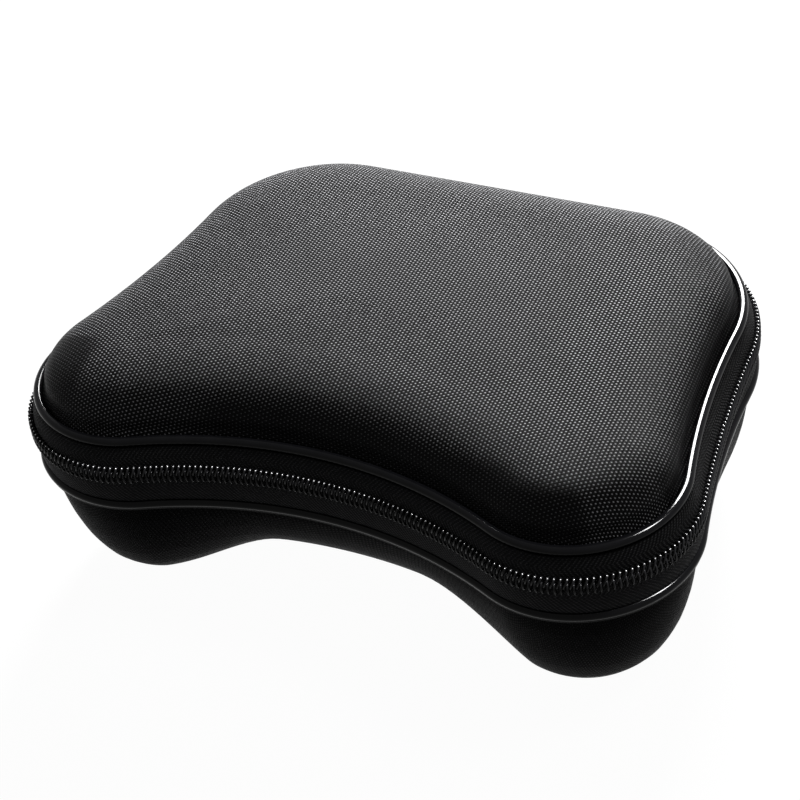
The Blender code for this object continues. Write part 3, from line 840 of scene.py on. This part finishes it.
# The grey of the heel thread is a painted highlight for the glint on the heels; the black thread is the
# thread's own colour.
PAINTED_GLINT_THREAD = sewing_thread("thread_grey_painted_glint", (0.09, 0.09, 0.092), (0.26, 0.26, 0.265))
DARK_THREAD = sewing_thread("thread_black", (0.006, 0.006, 0.007), (0.03, 0.03, 0.032))
STITCH_RADIUS, STITCH_OUT, STITCH_UP = 0.00022, 0.00140, 0.00232


def heel_stitches(name, side, body, places):
    """One small stitch over each heel; a heel stands a little behind its loop's head."""
    bm = bmesh.new()
    behind = 0.00088 if side > 0 else 0.00013
    level = Vector((0, 0, ZIP_Z + side * STITCH_UP))
    for point, ahead in places:
        out = Vector((-ahead.y, ahead.x, 0.0))
        centre = point.to_3d() - ahead.to_3d() * behind + out * STITCH_OUT + level
        made = bmesh.ops.create_icosphere(bm, subdivisions=1, radius=STITCH_RADIUS)["verts"]
        bmesh.ops.transform(bm, matrix=Matrix.Translation(centre), verts=made)
    stitches = finished(name, bm)
    return dress(stitches, body, "zip_teeth", PAINTED_GLINT_THREAD)


base_heels = loop_places(TOOTH_PITCH / 2, CHAIN_LEFT)
lid_stitches = heel_stitches("lid_coil_stitches", 1.0, "lid", lid_loops)
base_stitches = heel_stitches("base_coil_stitches", -1.0, "base", base_heels)
print("stitches on lid and base:", len(lid_loops), len(base_heels))


# %% [markdown]
# ## Slider, pull and stops
# The slider is cast in zinc and painted black: two plates joined by a wedge, with
# turned-in edges that guide the coils and a low arch that holds the pull. The pull is
# a flat cast tab with a raised rim. A crimped block stops the slider at each end.

# %% Painted casting
def painted_metal():
    """Black paint over cast zinc, thinner and brighter along its edges."""
    mat, shader = finish("slider_black_paint", 0.34, 0.28)
    wear = cloud(mat, 260.0, 6.0)
    edge = node_of(mat, "MapRange", Value=node_of(mat, "NewGeometry").outputs["Pointiness"])
    edge.inputs["From Min"].default_value = 0.52
    edge.inputs["From Max"].default_value = 0.62
    rubbed = times(mat, edge.outputs[0], wear, clamp=True)
    tint(mat, shader, rubbed, (0.012, 0.012, 0.013), (0.16, 0.16, 0.165))
    feed(mat, shader.inputs["Roughness"], times(mat, wear, 0.25, 0.22))
    relief(mat, shader, wear, 0.00005, 0.35)
    return mat


PAINT = painted_metal()
print("finish:", PAINT.name)


# %% Cast blocks and plates
def block(bm, low, high, bevel, rounds=3):
    """A cast block between two corners with rounded edges."""
    made = bmesh.ops.create_cube(bm, size=1.0)["verts"]
    low, high = Vector(low), Vector(high)
    size = Matrix.Diagonal((high - low).to_4d())
    bmesh.ops.transform(bm, matrix=Matrix.Translation((low + high) / 2) @ size, verts=made)
    edges = list({e for v in made for e in v.link_edges})
    bmesh.ops.bevel(bm, geom=edges, offset=bevel, segments=rounds, profile=0.5, affect="EDGES", material=-1)


def plate(bm, outline_points, low, high, bevel):
    """A plate cut from a plan in X and Z, standing from y = low to y = high."""
    verts = [bm.verts.new((x, low, z)) for x, z in outline_points]
    face = bm.faces.new(verts)
    grown = bmesh.ops.extrude_face_region(bm, geom=[face])["geom"]
    top = points_in(grown)
    bmesh.ops.translate(bm, verts=top, vec=(0.0, high - low, 0.0))
    rims = {e for v in verts + top for e in v.link_edges}
    flat = [e for e in rims if abs(e.verts[0].co.y - e.verts[1].co.y) < 1e-7]
    bmesh.ops.bevel(bm, geom=flat, offset=bevel, segments=3, profile=0.5, affect="EDGES", material=-1)


print("block and plate are ready")

# %% Slider body
SHOULDER_HALF, SHOULDER_ROUND, TAIL_HALF, TAIL_ROUND = 0.0032, 0.0018, 0.00256, 0.0012
BRIDGE_FOOT, BRIDGE_RISE, BRIDGE_HALF, BRIDGE_STEPS = 0.0028, 0.0025, 0.0009, 12


def slider_plan():
    """Plan of a slider plate: broad shoulders at one end, a narrower tail at the other."""
    points = []
    for k in range(9):
        turn = math.pi * (0.5 + k / 8)
        points.append((SLIDER_X0 + SHOULDER_ROUND * (1 + math.cos(turn)), SHOULDER_HALF * math.sin(turn)))
    for k in range(7):
        turn = math.pi * (-0.5 + k / 6)
        points.append((SLIDER_X1 - TAIL_ROUND * (1 - math.cos(turn)), TAIL_HALF * math.sin(turn)))
    return [(x, ZIP_Z + z) for x, z in points]


def slider_bridge(bm):
    """The low arch over the slider that holds the pull."""
    middle = (SLIDER_X0 + SLIDER_X1) / 2
    reach = (SLIDER_X1 - SLIDER_X0) / 2 - 0.0014
    spine = []
    for k in range(BRIDGE_STEPS + 1):
        turn = math.pi * k / BRIDGE_STEPS
        y = BACK_Y + BRIDGE_FOOT + BRIDGE_RISE * math.sin(turn) ** 0.55
        spine.append(bm.verts.new((middle - reach * math.cos(turn), y, ZIP_Z)))
    edges = [bm.edges.new(pair) for pair in zip(spine, spine[1:])]
    grown = bmesh.ops.extrude_edge_only(bm, edges=edges)["geom"]
    bmesh.ops.translate(bm, verts=points_in(grown), vec=(0.0, 0.0, BRIDGE_HALF))
    bmesh.ops.translate(bm, verts=spine, vec=(0.0, 0.0, -BRIDGE_HALF))
    bmesh.ops.recalc_face_normals(bm, faces=bm.faces)
    band = [g for g in grown if isinstance(g, bmesh.types.BMFace)]
    bmesh.ops.solidify(bm, geom=band, thickness=0.0007)


bm = bmesh.new()
plate(bm, slider_plan(), BACK_Y + 0.0023, BACK_Y + 0.0031, 0.00028)
plate(bm, slider_plan(), BACK_Y - 0.0018, BACK_Y - 0.0010, 0.00022)
wedge_low = (SLIDER_X0 + 0.0006, BACK_Y - 0.0014, ZIP_Z + 0.0004)
block(bm, wedge_low, (SLIDER_X0 + 0.0030, BACK_Y + 0.0027, ZIP_Z + 0.0018), 0.0003)
for z0, z1 in ((0.00278, 0.00318), (-0.00318, -0.00278)):
    guide_low = (SLIDER_X0 + 0.0012, BACK_Y + 0.0007, ZIP_Z + z0)
    block(bm, guide_low, (SLIDER_X1 - 0.0012, BACK_Y + 0.0029, ZIP_Z + z1), 0.00022)
slider_bridge(bm)
zip_slider = finished("slider_body", bm)
soften = zip_slider.modifiers.new("soften", "BEVEL")
soften.width = 0.00012
soften.segments = 2
soften.limit_method = "ANGLE"
dress(zip_slider, "slider", "zip_metal", PAINT)
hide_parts("zip_slider")

# %% Pull tab
PULL_X, PULL_Y, PULL_THICK = -0.0263, 0.0660, 0.00042
FAR_HALF, NEAR_HALF, FAR_ROUND = 0.0025, 0.0022, 0.0020


def pull_plan(inset):
    """Plan of the tab: rounded far end, slight waist, square shoulders at the pin."""
    x0, x1 = PULL_X + 0.0040 + inset, PULL_X + 0.0230 - inset
    side = [(x0, NEAR_HALF - inset)]
    for k in range(1, 5):
        t = k / 5
        half = NEAR_HALF + (FAR_HALF - NEAR_HALF) * t - inset - 0.0003 * math.sin(math.pi * t)
        side.append((x0 + (x1 - FAR_ROUND - x0) * t, half))
    turns = [math.pi / 2 - math.pi * k / 8 for k in range(9)]
    end = [(x1 - FAR_ROUND + FAR_ROUND * math.cos(t), (FAR_HALF - inset) * math.sin(t)) for t in turns]
    points = [(x0, inset - NEAR_HALF)] + side + end + [(x, -half) for x, half in side[:0:-1]]
    return [(x, ZIP_Z + z) for x, z in points]


bm = bmesh.new()
plate(bm, pull_plan(0.0), PULL_Y - PULL_THICK, PULL_Y + 0.00030, 0.00018)
plate(bm, pull_plan(0.0009), PULL_Y + 0.00020, PULL_Y + 0.00046, 0.0001)
for z0, z1 in ((-0.0024, -0.0014), (0.0014, 0.0024)):
    arm_low = (PULL_X - 0.0004, PULL_Y - PULL_THICK, ZIP_Z + z0)
    block(bm, arm_low, (PULL_X + 0.0046, PULL_Y + PULL_THICK, ZIP_Z + z1), 0.0003)
pin = bmesh.ops.create_cone(
    bm, cap_ends=True, segments=16, radius1=PULL_THICK, radius2=PULL_THICK, depth=0.0040,
)["verts"]
bmesh.ops.translate(bm, verts=pin, vec=(PULL_X, PULL_Y, ZIP_Z))
zip_pull = finished("pull_tab", bm)
dress(zip_pull, "pull", "zip_metal", PAINT)
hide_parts("zip_pull")

# %% Crimped end stops
for name, node in (("stop_right", "zip_stop_right"), ("stop_left", "zip_stop_left")):
    low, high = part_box(node)
    bm = bmesh.new()
    block(bm, low, high, 0.00022)
    length = high[0] - low[0]
    for share in (0.33, 0.67):
        x = low[0] + length * share
        ridge_low = (x - 0.00010, high[1] - 0.0004, low[2] + 0.0003)
        block(bm, ridge_low, (x + 0.00010, high[1] + 0.00012, high[2] - 0.0003), 0.00006, 2)
    stop = finished(name, bm)
    dress(stop, "base", "zip_metal", PAINT)
    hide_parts(node)


# %% [markdown]
# ## Hinge panel
# At the back the zip stops short and a strip of the same nylon joins the two rims.
# It is sewn under both pipings and bends when the lid opens; here it is made closed,
# its upper edge at the lid, its lower edge at the base, the cloth turning between them.

# %% Panel and its stitching
def panel_line(grow, z, count=28):
    """One line of the panel across the back."""
    y, half = BACK_LINE + grow, PANEL_HALF + PANEL_LAP
    return [Vector((-half + 2 * half * k / count, y, z)) for k in range(count + 1)]


LOW_GROW, TOP_GROW = BASE_PIPING_GROW - 0.0002, 0.0001
PANEL_SECTION = [(BASE_PIPING_GROW - 0.0009, TAPE_LOW - 0.0002), (LOW_GROW, TAPE_LOW)]
for k in range(1, 16):
    t = k / 16
    grow = LOW_GROW + (TOP_GROW - LOW_GROW) * ease(t, 0.55, 1.0) + 0.0002 * math.sin(math.pi * t)
    PANEL_SECTION.append((grow, TAPE_LOW + (TAPE_TOP - TAPE_LOW) * t))
PANEL_SECTION += [(TOP_GROW, TAPE_TOP), (-0.0009, TAPE_TOP + 0.0001)]
panel = loft("hinge_cloth", [panel_line(g, z) for g, z in PANEL_SECTION], ring=False)
thicken(panel, 0.0010, 0.0)
# The panel takes the bowl's darker copy of the nylon, with its painted shade.
panel.data.materials.append(PAINTED_SHADE_NYLON)
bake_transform(panel)
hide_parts("hinge_panel")


def stitch_line(name, places, length, mat, girth=0.00016):
    """A row of stitches; each place is a point, the seam's direction and the cloth's outside."""
    bm = bmesh.new()
    for point, ahead, out in places:
        ahead, out = ahead.normalized(), out.normalized()
        side = out.cross(ahead)
        made = bmesh.ops.create_icosphere(bm, subdivisions=1, radius=1.0)["verts"]
        placing = placed(ahead * length / 2, side * girth, out * girth, point)
        bmesh.ops.transform(bm, matrix=placing, verts=made)
    row = finished(name, bm)
    row.data.materials.append(mat)
    return row


seams = []
for x in (-PANEL_HALF + 0.0012, PANEL_HALF - 0.0012):
    for (g0, z0), (g1, z1) in zip(PANEL_SECTION[1:-1], PANEL_SECTION[2:-1]):
        point = Vector((x, BACK_LINE + (g0 + g1) / 2 + 0.00054, (z0 + z1) / 2))
        ahead = Vector((0.0, g1 - g0, z1 - z0))
        seams.append((point, ahead, Vector((0.0, 1.0, 0.0))))
panel_seams = stitch_line("hinge_seams", seams, 0.0008, DARK_THREAD)
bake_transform(panel_seams)
print("hinge cloth and", len(seams), "stitches bend between base and lid")


# %% [markdown]
# ## Inside trim
# The raw edge of each shell is covered inside by a ribbed binding tape, sewn with a
# row of stitches. An elastic net pocket hangs under the lid, gathered by a woven
# elastic along its open front edge.

# %% Ribbed binding
def ribbed_tape():
    """Grosgrain: fine ribs across the tape."""
    mat, shader = finish("binding_grosgrain", 0.62, 0.12)
    along, _ = grain_of(mat, 0.0006, 0.0006)
    rib = wave(mat, along, 1.0)
    lit = times(mat, rib, times(mat, cloud(mat, 600.0, 2.0), 0.8, 0.4))
    tint(mat, shader, lit, (0.008, 0.008, 0.009), (0.06, 0.06, 0.063))
    relief(mat, shader, rib, 0.0001, 0.7)
    return mat


RIBBED = ribbed_tape()


def binding_tape(name, node, grow, z_low, z_high, body):
    """A band round the inside of a rim, with its row of stitches."""
    steps = 6
    lines = []
    for k in range(steps + 1):
        t = k / steps
        lines.append(line_of(outline(grow - 0.00025 * math.sin(math.pi * t)), z_low + (z_high - z_low) * t))
    band = loft(name, lines)
    thicken(band, 0.0007, 0.0)
    dress(band, body, "binding", RIBBED)
    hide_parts(node)
    places = []
    middle = z_low + (z_high - z_low) * 0.28
    for point, ahead in path_places(outline(grow - 0.0006), 0.0004, 0.0, 0.0026):
        out = Vector((ahead.y, -ahead.x, 0.0))
        places.append((Vector((point.x, point.y, middle)), ahead.to_3d(), out))
    row = stitch_line(name + "_seam", places, 0.0018, DARK_THREAD, 0.00018)
    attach(row, body)


low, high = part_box("lid_binding")
binding_tape("lid_binding_tape", "lid_binding", -0.0026, low.z, high.z, "lid")
low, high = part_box("base_binding")
binding_tape("base_binding_tape", "base_binding", -0.0006, low.z, high.z, "base")


# %% Net pocket
# Thin black elastic cord.
NET = uneven_finish(
    "net_cord", 0.55, 0.25, (1800.0, 2.0), (0.012, 0.012, 0.013), (0.06, 0.06, 0.062), 0.00005, 0.5,
)
NET_Z = ZIP_Z + 0.0128
NET_FRONT = -0.0260
net_edge = outline(-0.0092)


def inside_net(x, y):
    """Whether a plan point lies within the pocket's sewn edge."""
    inside = False
    count = len(net_edge)
    for i in range(count):
        a, b = net_edge[i], net_edge[(i + 1) % count]
        if (a.y > y) != (b.y > y) and x < a.x + (y - a.y) / (b.y - a.y) * (b.x - a.x):
            inside = not inside
    return inside and y > NET_FRONT + 0.0002


bm = bmesh.new()
bmesh.ops.create_grid(bm, x_segments=76, y_segments=76, size=0.0900)
bmesh.ops.rotate(bm, verts=bm.verts, cent=(0, 0, 0), matrix=Matrix.Rotation(math.radians(45), 3, "Z"))
outside = [v for v in bm.verts if not inside_net(v.co.x, v.co.y)]
bmesh.ops.delete(bm, geom=outside, context="VERTS")
for vert in bm.verts:
    vert.co.z = NET_Z - 0.0006 * math.cos(vert.co.x / 0.072 * math.pi / 2) + 0.0002
net = finished("pocket_net", bm)
strands = net.modifiers.new("strands", "WIREFRAME")
strands.thickness = 0.00042
strands.use_replace = True
strands.use_even_offset = False
dress(net, "lid", "net", NET)
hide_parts("lid_pocket_net")

# %% Sewn edge and gathered elastic of the net
in_front = [i for i, p in enumerate(net_edge) if p.y <= NET_FRONT]
order = [*range(in_front[-1] + 1, len(net_edge)), *range(in_front[0])]
rings = (outline(-0.0080), net_edge, outline(-0.0116))
hem_lines = [[Vector((ring[i].x, ring[i].y, NET_Z + 0.0003)) for i in order] for ring in rings]
hem = loft("net_hem", hem_lines, ring=False)
thicken(hem, 0.0007, 0.0)
dress(hem, "lid", "net", RIBBED)

low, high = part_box("lid_pocket_elastic")
gathers = 150
lines = []
for k in range(7):
    t = k / 6
    y = low.y + (high.y - low.y) * t
    lines.append([
        Vector((low.x + (high.x - low.x) * i / (gathers * 2), y,
                (low.z + high.z) / 2 + (0.00025 if i % 2 else -0.00025) * (0.4 + 0.6 * abs(2 * t - 1))))
        for i in range(gathers * 2 + 1)
    ])
elastic = loft("net_elastic", lines, ring=False)
thicken(elastic, 0.0010, 0.0)
dress(elastic, "lid", "binding", RIBBED)
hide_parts("lid_pocket_elastic")

# %% [markdown]
# ## Camera and light
# The camera stands at the front right, about 38 degrees up, tilted a little, with a
# long lens, as the traced outlines of the photograph give it. The light is a large
# soft box above and behind, so the top is lit and the near walls stay dark. Two more
# soft boxes are linked to the glossy trim alone: the piping mirrors them as clear
# lines and the zip's heels sparkle, while the cloth keeps its tones.

# %% Camera
# The camera's azimuth, elevation and roll
a, e, r = (math.radians(degrees) for degrees in (32.1896, 38.4517, -8.9578))
back = Vector((math.sin(a) * math.cos(e), -math.cos(a) * math.cos(e), math.sin(e)))
right = Vector((0, 0, 1)).cross(back).normalized()
up = back.cross(right)
level = right * math.cos(r) + up * math.sin(r)
top = up * math.cos(r) - right * math.sin(r)
camera = bpy.data.objects.new("camera", bpy.data.cameras.new("camera"))
bpy.context.scene.collection.objects.link(camera)
camera.matrix_world = placed(level, top, back, (0.24703, -0.40487, 0.40979))
camera.data.lens = 105.231
camera.data.sensor_width = 36.0
camera.data.clip_start = 0.01
bpy.context.scene.camera = camera
bpy.context.scene.view_settings.view_transform = "Standard"
print("camera lens:", round(camera.data.lens, 1), "mm")


# %% Soft boxes
def soft_box(name, place, target, width, height, power):
    """A rectangular lamp that looks at a point."""
    data = bpy.data.lights.new(name, "AREA")
    data.shape = "RECTANGLE"
    data.size, data.size_y, data.energy = width, height, power
    lamp = bpy.data.objects.new(name, data)
    bpy.context.scene.collection.objects.link(lamp)
    lamp.location = place
    lamp.rotation_euler = (Vector(target) - Vector(place)).to_track_quat("-Z", "Y").to_euler()
    return lamp


soft_box("back_box", (-0.14, 0.63, 0.39), (0.0, 0.0, 0.06), 0.32, 0.20, 12.4)
soft_box("right_box", (0.48, 0.22, 0.90), (0.0, 0.0, 0.05), 0.25, 0.25, 1.3)
trim = bpy.data.collections.new("shiny_trim")
for piece in (lid_cord, base_cord, lid_coil, base_coil, lid_stitches, base_stitches):
    trim.objects.link(piece)
shine_box = soft_box("shine_box", (-0.36, 0.76, 0.68), (0.0, 0.0, 0.05), 0.30, 0.24, 50.0)
spark_box = soft_box("spark_box", (0.50, 0.20, 0.87), (0.0, 0.0, 0.05), 0.22, 0.22, 60.0)
for lamp in (shine_box, spark_box):
    lamp.light_linking.receiver_collection = trim


# %% World
def seen_directly(tree):
    """1 for rays that show the surroundings: camera, mirror and glass rays."""
    path = tree.nodes.new("ShaderNodeLightPath")
    seen = path.outputs["Is Camera Ray"]
    for kind in ("Is Glossy Ray", "Is Transmission Ray"):
        either = tree.nodes.new("ShaderNodeMath")
        either.operation = "MAXIMUM"
        tree.links.new(seen, either.inputs[0])
        tree.links.new(path.outputs[kind], either.inputs[1])
        seen = either.outputs[0]
    return seen


def grey(tree, kind, level):
    """A shader node of an even grey."""
    node = tree.nodes.new(kind)
    node.inputs["Color"].default_value = (level, level, level, 1.0)
    return node


world = bpy.data.worlds.new("studio")
bpy.context.scene.world = world
world.use_nodes = True
tree = world.node_tree
tree.nodes.clear()
surround = grey(tree, "ShaderNodeBackground", 0.04)
white = grey(tree, "ShaderNodeBackground", 1.0)
choose = tree.nodes.new("ShaderNodeMixShader")
world_out = tree.nodes.new("ShaderNodeOutputWorld")
tree.links.new(seen_directly(tree), choose.inputs[0])
tree.links.new(surround.outputs[0], choose.inputs[1])
tree.links.new(white.outputs[0], choose.inputs[2])
tree.links.new(choose.outputs[0], world_out.inputs[0])
print("world:", world.name)


# %% Floor
def studio_floor():
    """Pale floor that shows white round the object and keeps its shadow."""
    mat = bpy.data.materials.new("floor_white")
    mat.use_nodes = True
    tree = mat.node_tree
    tree.nodes.clear()
    paper = grey(tree, "ShaderNodeBsdfDiffuse", 0.07)
    glow = grey(tree, "ShaderNodeEmission", 0.97)
    tree.links.new(seen_directly(tree), glow.inputs["Strength"])
    both = tree.nodes.new("ShaderNodeAddShader")
    out = tree.nodes.new("ShaderNodeOutputMaterial")
    tree.links.new(paper.outputs[0], both.inputs[0])
    tree.links.new(glow.outputs[0], both.inputs[1])
    tree.links.new(both.outputs[0], out.inputs[0])
    return mat


bm = bmesh.new()
bmesh.ops.create_grid(bm, x_segments=8, y_segments=8, size=3.0)
floor = finished("studio_floor", bm)
floor.data.materials.append(studio_floor())
floor.location.z = -0.0002
print("white floor at z =", round(floor.location.z * 1000, 1), "mm")
